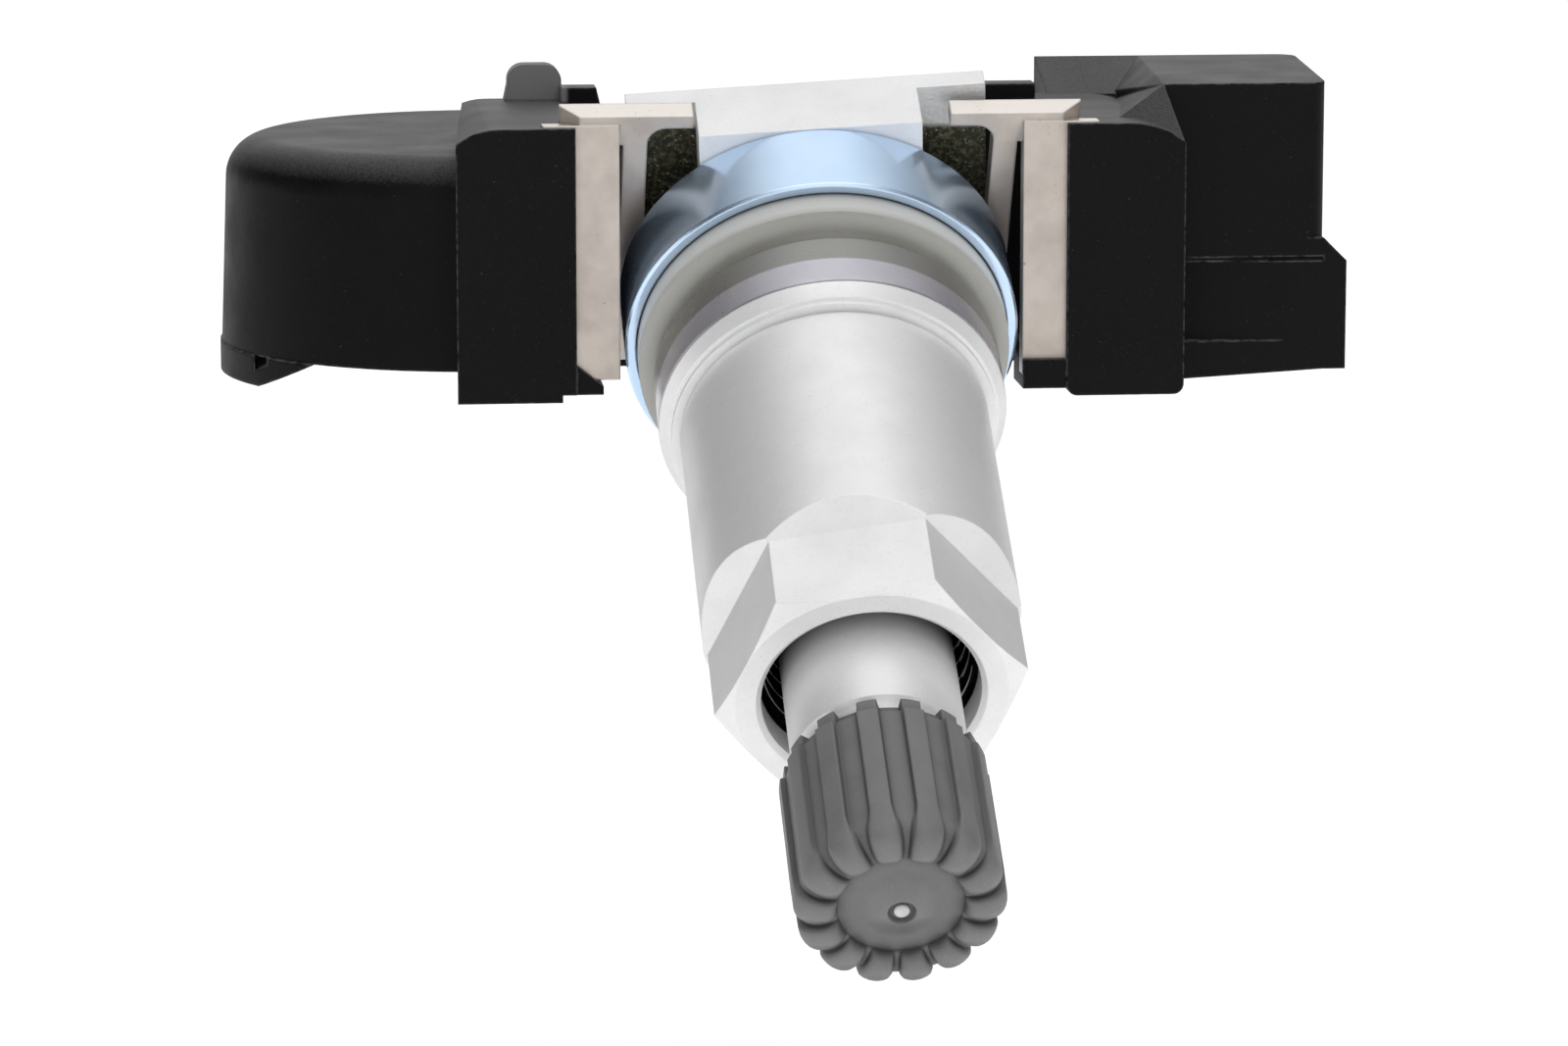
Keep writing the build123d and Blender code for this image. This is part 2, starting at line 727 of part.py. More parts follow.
# Housing: drum for the cell, passage, pillars and electronics box
with BuildPart() as housing:
    with BuildSketch(Plane.XY.offset(shell_bottom)):
        with Locations((drum_x, drum_y)):
            Circle(drum_radius + drum_flare)
    extrude(amount=drum_top - shell_bottom, taper=drum_taper)
    fillet(housing.edges().group_by(Axis.Z)[-1], radius=drum_round)
    with BuildSketch(Plane.XY.offset(shell_bottom)):
        with Locations((0, pocket_step / 2)):
            Rectangle(2 * pillar_inner, pocket_step)
        with Locations((0, bridge_front / 2)):
            Rectangle(2 * pocket_half_width, bridge_front)
    extrude(amount=drum_top - shell_bottom, mode=Mode.SUBTRACT)
    with BuildSketch(Plane.XY.offset(shell_bottom)) as bridge_outline:
        with Locations(((drum_x + box_right) / 2, (bridge_front + body_back) / 2)):
            Rectangle(box_right - drum_x, body_back - bridge_front)
        fillet(bridge_outline.vertices().group_by(Axis.X)[-1].sort_by(Axis.Y)[-1], radius=back_round)
    extrude(amount=drum_top - drum_round / 2 - shell_bottom)
    with BuildSketch(Plane.XZ.offset(-bridge_front)):
        with BuildLine():
            Polyline(
                (-pillar_inner, shell_bottom),
                (pillar_inner, shell_bottom),
                (pillar_inner, rear_wall_top),
                (pillar_inner - rear_tab_right + rear_tab_round, rear_wall_top),
                (pillar_inner - rear_tab_right, rear_wall_low),
                (rear_tab_left - pillar_inner, rear_wall_low),
                (rear_tab_left - pillar_inner - rear_tab_round, rear_wall_top),
                (-pillar_inner, rear_wall_top),
                close=True,
            )
        make_face()
    extrude(amount=-rear_wall)
    add(left_pillar.part)
    with BuildSketch(Plane.XZ.offset(-pillar_front)) as right_pillar:
        with BuildLine():
            shoulder_start = (pillar_shoulder, pillar_top)
            shoulder_end = (pillar_outer, pillar_top - shoulder_drop)
            TangentArc(shoulder_start, shoulder_end, tangent=(1, 0))
            Polyline(
                shoulder_end,
                (pillar_outer, pillar_foot),
                (pillar_inner, pillar_foot),
                (pillar_inner, pillar_top),
                shoulder_start,
            )
        make_face()
        fillet(right_pillar.vertices().group_by(Axis.Y)[0], radius=foot_round)
    extrude(amount=-(pillar_back - pillar_front))
    with BuildSketch(Plane.XY.offset(box_bottom)) as box_outline:
        with BuildLine():
            Polyline(
                (box_left, box_front),
                (box_right, box_front),
                (box_right + box_splay, box_back),
                (box_back_left, box_back),
                close=True,
            )
        make_face()
        fillet(box_outline.vertices().sort_by(Axis.X)[-2:], radius=box_round)
    extrude(amount=box_top - box_bottom)
    box_length = box_back - box_front + 2 * box_overlap
    with BuildSketch(right_wall_plane):
        with BuildLine():
            round_top = (-box_shoulder, box_top)
            round_side = (0, box_top - box_shoulder)
            Polyline(round_side, (box_overlap, box_top - box_shoulder), (box_overlap, box_top), round_top)
            TangentArc(round_top, round_side, tangent=(1, 0))
        make_face()
    extrude(amount=-box_length, mode=Mode.SUBTRACT)
    add(facet.part, mode=Mode.SUBTRACT)
    with BuildSketch(Plane.YZ.offset(pillar_inner + ramp_left_inset)):
        with BuildLine():
            Polyline(
                (pillar_back - ramp_overlap, box_bottom),
                (box_back, box_bottom),
                (box_back, box_top),
                (pillar_back - ramp_overlap, pillar_top),
                close=True,
            )
        make_face()
    extrude(amount=pillar_width - ramp_left_inset + facet_inset)
    add(gusset.part)
    with BuildSketch(Plane.XZ.offset(-box_front)):
        with BuildLine():
            Polyline(
                (box_right - wall, box_bottom),
                (flange_right, box_bottom),
                (flange_right, flange_top),
                (box_right, flange_top + flange_slope),
                (box_right - wall, flange_top + flange_slope),
                close=True,
            )
        make_face()
    extrude(amount=-(body_back - back_round - box_front))
    with BuildSketch(Plane.XZ.offset(-box_front)):
        with BuildLine():
            Polyline(
                (box_left, box_bottom),
                (flange_right - flange_width, box_bottom),
                (box_left, box_bottom - keel_drop),
                close=True,
            )
        make_face()
    extrude(amount=-wall)
    with BuildSketch(Plane.XY.offset(panel_bottom)):
        with BuildLine():
            Polyline(
                (pillar_outer, box_front),
                (box_right - panel_short, box_front),
                (pillar_outer, box_front + panel_depth),
                close=True,
            )
        make_face()
    extrude(amount=flange_top - panel_bottom, mode=Mode.SUBTRACT)
    with BuildSketch(Plane.XZ.offset(-box_front)):
        with Locations(((pillar_outer + box_right) / 2, flange_top + step_groove / 2)):
            Rectangle(box_right - pillar_outer, step_groove)
    extrude(amount=-step_groove, mode=Mode.SUBTRACT)
    with BuildSketch(Plane.XY.offset(sill_bottom)):
        with Locations((0, (sill_front + passage_front) / 2)):
            Rectangle(2 * pillar_inner, passage_front - sill_front)
    extrude(amount=sill_top - sill_bottom)
    with BuildSketch(Plane.XZ.offset(-toe_front)):
        with BuildLine():
            Polyline(
                (ear_inner, toe_bottom),
                (ear_outer, toe_bottom),
                (ear_outer, toe_top),
                (ear_inner, toe_top),
                close=True,
            )
        make_face()
        with BuildLine():
            Polyline(
                (-ear_outer, toe_bottom),
                (toe_left_width - pillar_inner, toe_bottom),
                (toe_left_width - pillar_inner, toe_tip),
                (-pillar_inner, toe_top),
                (-ear_outer, toe_top),
                close=True,
            )
        make_face()
    extrude(amount=-toe_depth)
    foot_left_x = drum_x - foot_left_offset
    foot_left_bottom = shell_bottom - foot_left_height
    with BuildSketch(Plane.XY.offset(shell_bottom)):
        with Locations((drum_x, drum_y)):
            Circle(drum_radius + drum_flare + foot_left_step)
        with Locations((foot_left_x + drum_radius, drum_y)):
            Rectangle(2 * drum_radius, 3 * drum_radius, mode=Mode.SUBTRACT)
    extrude(amount=-foot_left_height)
    with BuildSketch(Plane.XZ.offset(-drum_y)):
        with BuildLine():
            Polyline(
                (foot_left_x - foot_left_slope, foot_left_bottom),
                (foot_left_x, foot_left_bottom),
                (foot_left_x, shell_bottom),
                close=True,
            )
        make_face()
    extrude(amount=drum_radius, both=True, mode=Mode.SUBTRACT)
    notch_x = drum_x - drum_radius * cos(radians(notch_turn))
    notch_y = drum_y - drum_radius * sin(radians(notch_turn))
    with BuildSketch(Plane.XZ.offset(-notch_y)):
        with BuildLine():
            Polyline(
                (notch_x - notch_width / 2, shell_bottom),
                (notch_x + notch_width / 2, shell_bottom),
                (notch_x - notch_width / 2, shell_bottom - notch_depth),
                close=True,
            )
        make_face()
    extrude(amount=notch_width, both=True, mode=Mode.SUBTRACT)
    lug_left = -(pillar_inner + lug_inset)
    lug_right = lug_left + lug_width
    with BuildSketch(Plane.XZ.offset(-pillar_back)) as lug_face:
        with BuildLine():
            Polyline(
                (lug_left - lug_flare, pillar_top - lug_root),
                (lug_left, pillar_top + lug_flare_height),
                (lug_left, pillar_top + lug_height),
                (lug_right, pillar_top + lug_height),
                (lug_right, pillar_top + lug_flare_height),
                (lug_right + lug_flare, pillar_top + lug_root),
                (lug_right + lug_rib_length, pillar_top),
                (lug_right + lug_rib_length, pillar_top - lug_root),
                close=True,
            )
        make_face()
        fillet(lug_face.vertices().group_by(Axis.Y)[-1], radius=lug_round)
    extrude(amount=lug_thickness)
    underside = min(foot_left_bottom, pillar_foot, box_bottom - keel_drop)
    add(inner_outline(Plane.XY.offset(underside), 0))
    extrude(amount=cover_top - underside, mode=Mode.SUBTRACT)
    add(inner_outline(Plane.XY.offset(cover_top), cover_ledge))
    extrude(amount=hollow_top - cover_top, mode=Mode.SUBTRACT)
    add(bracket.part, mode=Mode.SUBTRACT)

# Cover that closes the underside, with the pressure port and the posts under board and cell
board_inset = wall + cover_ledge + board_margin
board_right = box_right - board_inset
board_back = body_back - board_inset
board_front = passage_front + cover_ledge + board_margin
board_box_left = pillar_inner + board_inset
board_box_front = box_front + board_inset
post_places = [
    (board_left + 2 * post_radius, board_front + 2 * post_radius),
    (board_left + 2 * post_radius, board_back - 2 * post_radius),
    (board_right - 2 * post_radius, board_box_front + 2 * post_radius),
    (board_right - 2 * post_radius, board_back - 2 * post_radius),
]
with BuildPart() as base_cover:
    add(inner_outline(Plane.XY.offset(shell_bottom), cover_gap))
    extrude(amount=cover_thickness)
    with BuildSketch(Plane.XY.offset(cover_top)):
        with Locations(*post_places):
            Circle(post_radius)
    extrude(amount=board_lift)
    with BuildSketch(Plane.XY.offset(cover_top)):
        with Locations((cell_x, cell_y)):
            Circle(cell_post_radius)
    extrude(amount=board_top - cover_top)
    with BuildSketch(Plane.XY.offset(shell_bottom)):
        with Locations((port_x, port_y)):
            Circle(port_radius)
    extrude(amount=cover_thickness, mode=Mode.SUBTRACT)

# Breathable filter over the pressure port
with BuildPart() as port_filter:
    with BuildSketch(Plane.XY.offset(cover_top)):
        with Locations((port_x, port_y)):
            Circle(filter_radius)
    extrude(amount=filter_thickness)

# Circuit board on the posts, holed above the port
with BuildPart() as circuit_board:
    with BuildSketch(Plane.XY.offset(board_bottom)):
        with Locations(((board_left + board_right) / 2, (board_front + board_back) / 2)):
            Rectangle(board_right - board_left, board_back - board_front)
        with Locations(((board_box_left + board_right) / 2, (board_box_front + board_back) / 2)):
            Rectangle(board_right - board_box_left, board_back - board_box_front)
        with Locations((port_x, port_y)):
            Circle(port_radius, mode=Mode.SUBTRACT)
    extrude(amount=board_thickness)

# Pressure sensing chip above the hole of the board
with BuildPart() as sensor_chip:
    with BuildSketch(Plane.XY.offset(board_top)):
        with Locations((port_x, port_y)):
            Rectangle(chip_width, chip_depth)
            Circle(chip_port_radius, mode=Mode.SUBTRACT)
    extrude(amount=chip_height)
    with BuildSketch(Plane.XY.offset(board_top + chip_height)):
        with Locations((port_x, port_y)):
            Circle(2 * chip_port_radius)
    extrude(amount=-chip_height / 2)

# Quartz crystal of the transmitter
with BuildPart() as crystal:
    with BuildSketch(Plane.XY.offset(board_top)):
        with Locations((port_x, crystal_y)):
            Rectangle(crystal_width, crystal_depth)
    extrude(amount=crystal_height)

# Wake-up coil: ferrite core with a waist, and its winding
coil_inner_length = coil_length - 2 * coil_flange
with BuildPart() as coil_core:
    with BuildSketch(Plane.XY.offset(board_top)):
        with Locations((coil_x, coil_y)):
            Rectangle(coil_length, coil_depth)
    extrude(amount=coil_height)
    with BuildSketch(Plane.YZ.offset(coil_x)):
        with Locations((coil_y, board_top + coil_height / 2)):
            Rectangle(coil_depth, coil_height)
            Rectangle(coil_depth - 2 * coil_waist, coil_height - 2 * coil_waist, mode=Mode.SUBTRACT)
    extrude(amount=coil_inner_length / 2, both=True, mode=Mode.SUBTRACT)
with BuildPart() as coil_winding:
    with BuildSketch(Plane.YZ.offset(coil_x)):
        with Locations((coil_y, board_top + coil_height / 2)):
            RectangleRounded(coil_depth - press_gap, coil_height - press_gap, coil_waist / 2)
            Rectangle(coil_depth - 2 * coil_waist, coil_height - 2 * coil_waist, mode=Mode.SUBTRACT)
    extrude(amount=coil_inner_length / 2 - press_gap, both=True)

# Coin cell with its stepped can
with BuildPart() as battery_cell:
    with BuildSketch(Plane.XY.offset(cell_bottom)):
        with Locations((cell_x, cell_y)):
            Circle(cell_radius - 2 * cell_can_step)
    extrude(amount=cell_can_step)
    with BuildSketch(Plane.XY.offset(cell_bottom + cell_can_step)):
        with Locations((cell_x, cell_y)):
            Circle(cell_radius)
    extrude(amount=cell_thickness - cell_can_step)
    fillet(battery_cell.edges().group_by(Axis.Z)[-1], radius=cell_can_step / 2)

# Welded strips from the cell to the board
tab_end = board_left + tab_foot
with BuildPart() as cell_tab_lower:
    with BuildSketch(Plane.XY.offset(board_top)):
        with Locations(((cell_x - tab_reach + tab_end) / 2, tab_lower_y)):
            Rectangle(tab_end - cell_x + tab_reach, tab_width)
    extrude(amount=tab_thickness)
tab_leg = cell_x + cell_radius + 2 * tab_thickness
with BuildPart() as cell_tab_upper:
    with BuildSketch(Plane.XZ.offset(-tab_upper_y)):
        with BuildLine():
            Polyline(
                (cell_x - tab_reach, cell_top),
                (tab_leg, cell_top),
                (tab_leg, board_top),
                (tab_end, board_top),
                (tab_end, board_top + tab_thickness),
                (tab_leg + tab_thickness, board_top + tab_thickness),
                (tab_leg + tab_thickness, cell_top + tab_thickness),
                (cell_x - tab_reach, cell_top + tab_thickness),
                close=True,
            )
        make_face()
    extrude(amount=tab_width / 2, both=True)

pieces = {
    "valve_stem": valve_stem,
    "core_body": core_body,
    "core_gasket": core_gasket,
    "core_pin": core_pin,
    "core_cup": core_cup,
    "core_spring": core_spring,
    "support_ring": support_ring,
    "grommet": grommet,
    "nut_washer": nut_washer,
    "nut": nut,
    "cap": cap,
    "cap_seal": cap_seal,
    "bracket": bracket,
    "housing": housing,
    "base_cover": base_cover,
    "port_filter": port_filter,
    "circuit_board": circuit_board,
    "sensor_chip": sensor_chip,
    "crystal": crystal,
    "coil_core": coil_core,
    "coil_winding": coil_winding,
    "battery_cell": battery_cell,
    "cell_tab_lower": cell_tab_lower,
    "cell_tab_upper": cell_tab_upper,
}
for label, piece in pieces.items():
    piece.part.label = label
    export_step(piece.part, f"parts/{label}.step")
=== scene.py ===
"""Looks of a tyre pressure sensor with a clamp-in valve: finishes, threads, cap, studio and camera."""

import json
import math

import bpy
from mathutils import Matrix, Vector


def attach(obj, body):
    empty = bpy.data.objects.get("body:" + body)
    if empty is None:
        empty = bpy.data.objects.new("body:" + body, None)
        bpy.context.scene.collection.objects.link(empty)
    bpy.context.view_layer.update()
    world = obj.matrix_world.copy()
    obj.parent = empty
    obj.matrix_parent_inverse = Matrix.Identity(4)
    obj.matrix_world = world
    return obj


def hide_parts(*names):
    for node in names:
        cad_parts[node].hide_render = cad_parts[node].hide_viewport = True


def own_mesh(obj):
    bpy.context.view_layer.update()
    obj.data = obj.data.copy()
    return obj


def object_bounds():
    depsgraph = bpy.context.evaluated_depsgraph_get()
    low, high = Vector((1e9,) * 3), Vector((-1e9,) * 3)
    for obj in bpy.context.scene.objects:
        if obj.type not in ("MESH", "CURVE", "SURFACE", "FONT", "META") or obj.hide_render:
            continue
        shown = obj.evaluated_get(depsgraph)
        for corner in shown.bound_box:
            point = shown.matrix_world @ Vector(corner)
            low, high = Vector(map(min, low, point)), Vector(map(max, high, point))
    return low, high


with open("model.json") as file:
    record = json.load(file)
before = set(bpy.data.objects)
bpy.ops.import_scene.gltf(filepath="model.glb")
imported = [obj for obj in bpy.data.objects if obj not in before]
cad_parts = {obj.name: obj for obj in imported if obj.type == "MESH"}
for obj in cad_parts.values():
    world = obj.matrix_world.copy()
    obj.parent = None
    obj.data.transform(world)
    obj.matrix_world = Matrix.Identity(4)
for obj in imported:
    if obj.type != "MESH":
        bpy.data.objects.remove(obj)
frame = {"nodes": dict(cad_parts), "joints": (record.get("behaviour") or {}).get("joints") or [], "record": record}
cad_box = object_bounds()

# Lengths below are written in millimetres and turned to metres with MM
MM = 0.001

# Directions of the part, and those of the valve from the nut's joint
joints = {joint["name"]: joint for joint in frame["joints"]}
across = Vector((1.0, 0.0, 0.0))
sky = Vector((0.0, 0.0, 1.0))
valve_out = Vector(joints["nut_turn"]["axis"]).normalized()
valve_up = valve_out.cross(across)


def turned_size(node):
    """Where a turned node starts and ends along the valve, and how far it reaches from the axis, in mm."""
    points = [vertex.co / MM for vertex in frame["nodes"][node].data.vertices]
    along = [point.dot(valve_out) for point in points]
    radius = [(point - valve_out * point.dot(valve_out)).length for point in points]
    return min(along), max(along), max(radius)


def on_valve(radius, turn, along):
    """Point at a radius and a turn about the valve axis, in metres."""
    side = across * math.cos(turn) + valve_up * math.sin(turn)
    return (side * radius + valve_out * along) * MM


# Node graph helpers

# Rays for each rounded edge and each shaded corner
shade_samples = 6

# How much the finer features add to a cloudy value
noise_roughness = 0.55

# Most of a cloudy value lies between these
cloud_low = 0.3
cloud_high = 0.7

# How well a rounded edge's normal agrees with its face, off the edge and on it
flat_agreement = 0.985
edge_agreement = 0.86


class Graph:
    """A node tree under construction, with its nodes, links and simple sums."""

    def __init__(self, tree):
        self.tree = tree

    def node(self, kind, **settings):
        made = self.tree.nodes.new(kind)
        for name, value in settings.items():
            setattr(made, name, value)
        return made

    def link(self, source, target):
        self.tree.links.new(source, target)

    def spread(self, value, low, high, start=0.0, end=1.0, interpolation="LINEAR"):
        """Value from start to end as the input goes from low to high."""
        ramp = self.node("ShaderNodeMapRange", interpolation_type=interpolation)
        ramp.inputs["From Min"].default_value = low
        ramp.inputs["From Max"].default_value = high
        ramp.inputs["To Min"].default_value = start
        ramp.inputs["To Max"].default_value = end
        self.link(value, ramp.inputs["Value"])
        return ramp.outputs["Result"]

    def product(self, first, second):
        made = self.node("ShaderNodeMath", operation="MULTIPLY")
        self.link(first, made.inputs[0])
        self.link(second, made.inputs[1])
        return made.outputs["Value"]

    def dot(self, value, direction):
        """How far a vector goes along a direction, which is fixed or comes from another node."""
        made = self.node("ShaderNodeVectorMath", operation="DOT_PRODUCT")
        self.link(value, made.inputs[0])
        if isinstance(direction, bpy.types.NodeSocket):
            self.link(direction, made.inputs[1])
        else:
            made.inputs[1].default_value = direction
        return made.outputs["Value"]


class Surface(Graph):
    """A material under construction: a principled shader with helpers for procedural detail."""

    def __init__(self, name, colour, roughness, metallic=0.0):
        self.material = bpy.data.materials.new(name)
        self.material.use_nodes = True
        super().__init__(self.material.node_tree)
        self.shader = self.tree.nodes["Principled BSDF"]
        self.put("Base Color", (*colour, 1.0))
        self.put("Roughness", roughness)
        self.put("Metallic", metallic)
        self.colour = None
        self.normal = None
        self.place = self.node("ShaderNodeTexCoord").outputs["Object"]

    def put(self, socket, value):
        """Set a constant on the shader's own socket."""
        self.shader.inputs[socket].default_value = value

    def noise(self, size, detail=3.0):
        """Cloudy value with features of about a size in mm."""
        texture = self.node("ShaderNodeTexNoise")
        texture.inputs["Scale"].default_value = 1.0 / (size * MM)
        texture.inputs["Detail"].default_value = detail
        texture.inputs["Roughness"].default_value = noise_roughness
        self.link(self.place, texture.inputs["Vector"])
        return texture.outputs["Fac"]

    def tint(self, amount, colour):
        """Mix a colour over the base where amount is high."""
        mix = self.node("ShaderNodeMix", data_type="RGBA")
        mix.inputs["B"].default_value = (*colour, 1.0)
        self.link(amount, mix.inputs["Factor"])
        if self.colour is None:
            mix.inputs["A"].default_value = self.shader.inputs["Base Color"].default_value
        else:
            self.link(self.colour, mix.inputs["A"])
        self.colour = mix.outputs["Result"]
        self.link(self.colour, self.shader.inputs["Base Color"])

    def mottle(self, size, colour, low=0.35, high=0.70, detail=3.0):
        """Patches of a colour, of about a size in mm; gives back their cloudy value."""
        value = self.noise(size, detail)
        self.tint(self.spread(value, low, high), colour)
        return value

    def gloss(self, value, low, high):
        """Roughness that goes from low to high with a cloudy value."""
        self.link(self.spread(value, cloud_low, cloud_high, low, high), self.shader.inputs["Roughness"])

    def use_normal(self, normal):
        self.normal = normal
        self.link(normal, self.shader.inputs["Normal"])

    def bump(self, value, depth):
        """Surface relief of a depth in mm, added to what is there."""
        made = self.node("ShaderNodeBump")
        made.inputs["Distance"].default_value = depth * MM
        self.link(value, made.inputs["Height"])
        if self.normal is not None:
            self.link(self.normal, made.inputs["Normal"])
        self.use_normal(made.outputs["Normal"])

    def bevel(self, width):
        """Normal of the faces with their edges rounded by a width in mm."""
        made = self.node("ShaderNodeBevel", samples=shade_samples)
        made.inputs["Radius"].default_value = width * MM
        return made.outputs["Normal"]

    def round_edges(self, width):
        """Edges that catch the light as if broken by a width in mm."""
        self.use_normal(self.bevel(width))

    def face_normal(self):
        return self.node("ShaderNodeNewGeometry").outputs["Normal"]

    def edges(self, width):
        """High on edges sharper than a width in mm, zero on flat and gently curved faces."""
        agreement = self.dot(self.bevel(width), self.face_normal())
        return self.spread(agreement, flat_agreement, edge_agreement)

    def facing(self, direction):
        """How far a face looks along a direction, from -1 to 1."""
        return self.dot(self.face_normal(), direction)

    def along(self, direction):
        """How far a point lies along a direction, in mm."""
        return self.dot(self.place, direction / MM)

    def crevices(self, reach, open_sky=0.90, deep=0.40):
        """High in corners and grooves within a reach in mm, zero where more than open_sky is free."""
        made = self.node("ShaderNodeAmbientOcclusion", samples=shade_samples)
        made.inputs["Distance"].default_value = reach * MM
        return self.spread(made.outputs["AO"], open_sky, deep)


# Finishes

# Where the housing's lug is painted lighter grey for the light it catches, in mm
lug_right = -11.1
pillar_top = 11.25
lug_fade = 0.2

# Where the cross bar's painted shade behind the bracket's windows gives way to its bright metal above them, in mm
window_top = 7.4
window_fade = 0.3

# Along the valve, in mm: the washer's dull half, the grommet's painted highlight on its bead and the fades of the
# painted shade on the stem inside the nut
dull_end = 1.65
dull_fade = 0.05
bead_start = -0.6
bead_full = -1.4
shade_start_fade = 0.4
shade_end_fade = 2.6


def grey(level):
    return level, level, level


def black_plastic():
    """Grainy moulded shell with pale specks, painted sheen on its upper faces, worn edges and a lug painted
    lighter grey for the light it catches.
    """
    surface = Surface("housing_plastic", colour=(0.0036, 0.0036, 0.0038), roughness=0.50)
    surface.put("Specular IOR Level", 0.10)
    surface.round_edges(width=0.22)
    patches = surface.mottle(size=3.0, colour=(0.0056, 0.0056, 0.0058), high=0.75)
    grain = surface.mottle(size=0.12, colour=(0.016, 0.016, 0.017), low=0.62, high=0.82, detail=2.0)
    # Painted sheen: upper faces painted paler grey for the light they catch, broken up a little by the grain
    sheen_grain = surface.spread(grain, low=0.25, high=0.60, start=0.7)
    upper_sheen = surface.product(surface.facing(sky), sheen_grain)
    surface.tint(surface.spread(upper_sheen, low=0.35, high=0.95), colour=(0.090, 0.090, 0.089))
    # Painted light: the lug painted lighter grey, where it catches more light
    left_of_lug = surface.spread(surface.along(across), lug_right, lug_right - lug_fade)
    over_pillar = surface.spread(surface.along(sky), pillar_top, pillar_top + lug_fade)
    surface.tint(surface.product(left_of_lug, over_pillar), colour=grey(0.20))
    rubbed = surface.spread(surface.noise(size=0.5), low=0.36, high=0.60)
    surface.tint(surface.product(surface.edges(width=0.15), rubbed), colour=grey(0.13))
    surface.mottle(size=0.14, colour=(0.05, 0.05, 0.048), low=0.77, high=0.82, detail=1.0)
    surface.gloss(patches, low=0.44, high=0.56)
    surface.bump(grain, depth=0.010)
    surface.bump(surface.noise(size=0.5), depth=0.008)
    return surface.material


def satin_alloy(name="satin_alloy", bore_shade_span=None):
    """Blasted alloy with painted highlights on its edges; its last argument gives two places along the valve with
    painted shade between them, inside the nut.
    """
    surface = Surface(name, colour=(0.90, 0.90, 0.905), roughness=0.42, metallic=0.42)
    surface.put("Specular Tint", (0.40, 0.40, 0.40, 1.0))
    surface.round_edges(width=0.10)
    patches = surface.mottle(size=2.5, colour=(0.85, 0.85, 0.86))
    blast = surface.mottle(size=0.09, colour=(0.66, 0.66, 0.67), low=0.60, high=0.85, detail=2.0)
    # Painted highlights: edges painted paler where they catch the light
    surface.tint(surface.edges(width=0.10), colour=grey(0.96))
    # Painted shade: the stem darkened where it runs inside the nut, as in the nut's shadow
    if bore_shade_span is not None:
        start, end = bore_shade_span
        place = surface.along(valve_out)
        after_start = surface.spread(place, start, start + shade_start_fade)
        before_end = surface.spread(place, end, end - shade_end_fade)
        surface.tint(surface.product(after_start, before_end), colour=grey(0.05))
    surface.gloss(patches, low=0.38, high=0.48)
    surface.bump(blast, depth=0.004)
    return surface.material


def shaded_bar_face():
    """Painted shade on the cross bar's face behind the bracket's windows: dark grainy colour with painted glints,
    and bright metal above them.
    """
    surface = Surface("shaded_bar_face", colour=(0.030, 0.030, 0.018), roughness=0.50, metallic=0.5)
    # Painted shade: dark grainy colour standing in for the shadow behind the windows
    grain = surface.mottle(size=0.22, colour=(0.13, 0.125, 0.075), low=0.46, high=0.66)
    # Painted glints: small pale specks in the shade
    surface.mottle(size=0.16, colour=(0.40, 0.39, 0.28), low=0.64, high=0.72, detail=2.0)
    above = surface.spread(surface.along(valve_up), window_top, window_top + window_fade)
    surface.tint(above, colour=grey(0.70))
    surface.gloss(grain, low=0.38, high=0.62)
    surface.bump(grain, depth=0.05)
    return surface.material


def plated_washer():
    """Plated on the nut's side, dull and grey next to the grommet, with painted shade in its corners."""
    surface = Surface("plated_washer", colour=(0.56, 0.55, 0.60), roughness=0.30, metallic=0.6)
    surface.round_edges(width=0.10)
    patches = surface.mottle(size=1.8, colour=(0.51, 0.50, 0.55), low=0.40)
    dull = surface.spread(surface.along(valve_out), dull_end + dull_fade, dull_end - dull_fade)
    surface.tint(dull, colour=(0.30, 0.298, 0.286))
    # Painted shade: darkened in its corners
    surface.tint(surface.crevices(reach=1.2), colour=(0.09, 0.089, 0.080))
    surface.gloss(patches, low=0.24, high=0.34)
    surface.bump(surface.noise(size=0.15), depth=0.002)
    return surface.material


def blue_alloy():
    """Smooth blue plating of the support ring, with painted highlights on its edges."""
    surface = Surface("blue_alloy", colour=(0.59, 0.76, 0.99), roughness=0.16, metallic=0.92)
    surface.round_edges(width=0.10)
    patches = surface.mottle(size=2.2, colour=(0.64, 0.80, 0.99))
    # Painted highlights: edges painted paler blue
    surface.tint(surface.edges(width=0.10), colour=(0.66, 0.78, 0.95))
    surface.gloss(patches, low=0.14, high=0.22)
    surface.bump(surface.noise(size=0.25), depth=0.002)
    return surface.material


def nickel_sheet():
    """Warm nickel plating of the bracket, with painted light on its upper faces, painted highlights on its edges,
    and small pits.
    """
    surface = Surface("nickel_sheet", colour=(0.57, 0.512, 0.462), roughness=0.38, metallic=0.6)
    surface.round_edges(width=0.14)
    patches = surface.mottle(size=1.2, colour=(0.51, 0.455, 0.41), low=0.40)
    # Painted light: upper faces painted paler, as lit from above
    surface.tint(surface.spread(surface.facing(sky), low=0.50, high=0.85), colour=(0.84, 0.79, 0.74))
    # Painted highlights: edges painted paler
    surface.tint(surface.edges(width=0.12), colour=(0.86, 0.81, 0.76))
    surface.mottle(size=0.16, colour=(0.25, 0.22, 0.20), low=0.74, high=0.80, detail=1.0)
    surface.gloss(patches, low=0.32, high=0.46)
    surface.bump(surface.noise(size=0.35), depth=0.006)
    return surface.material


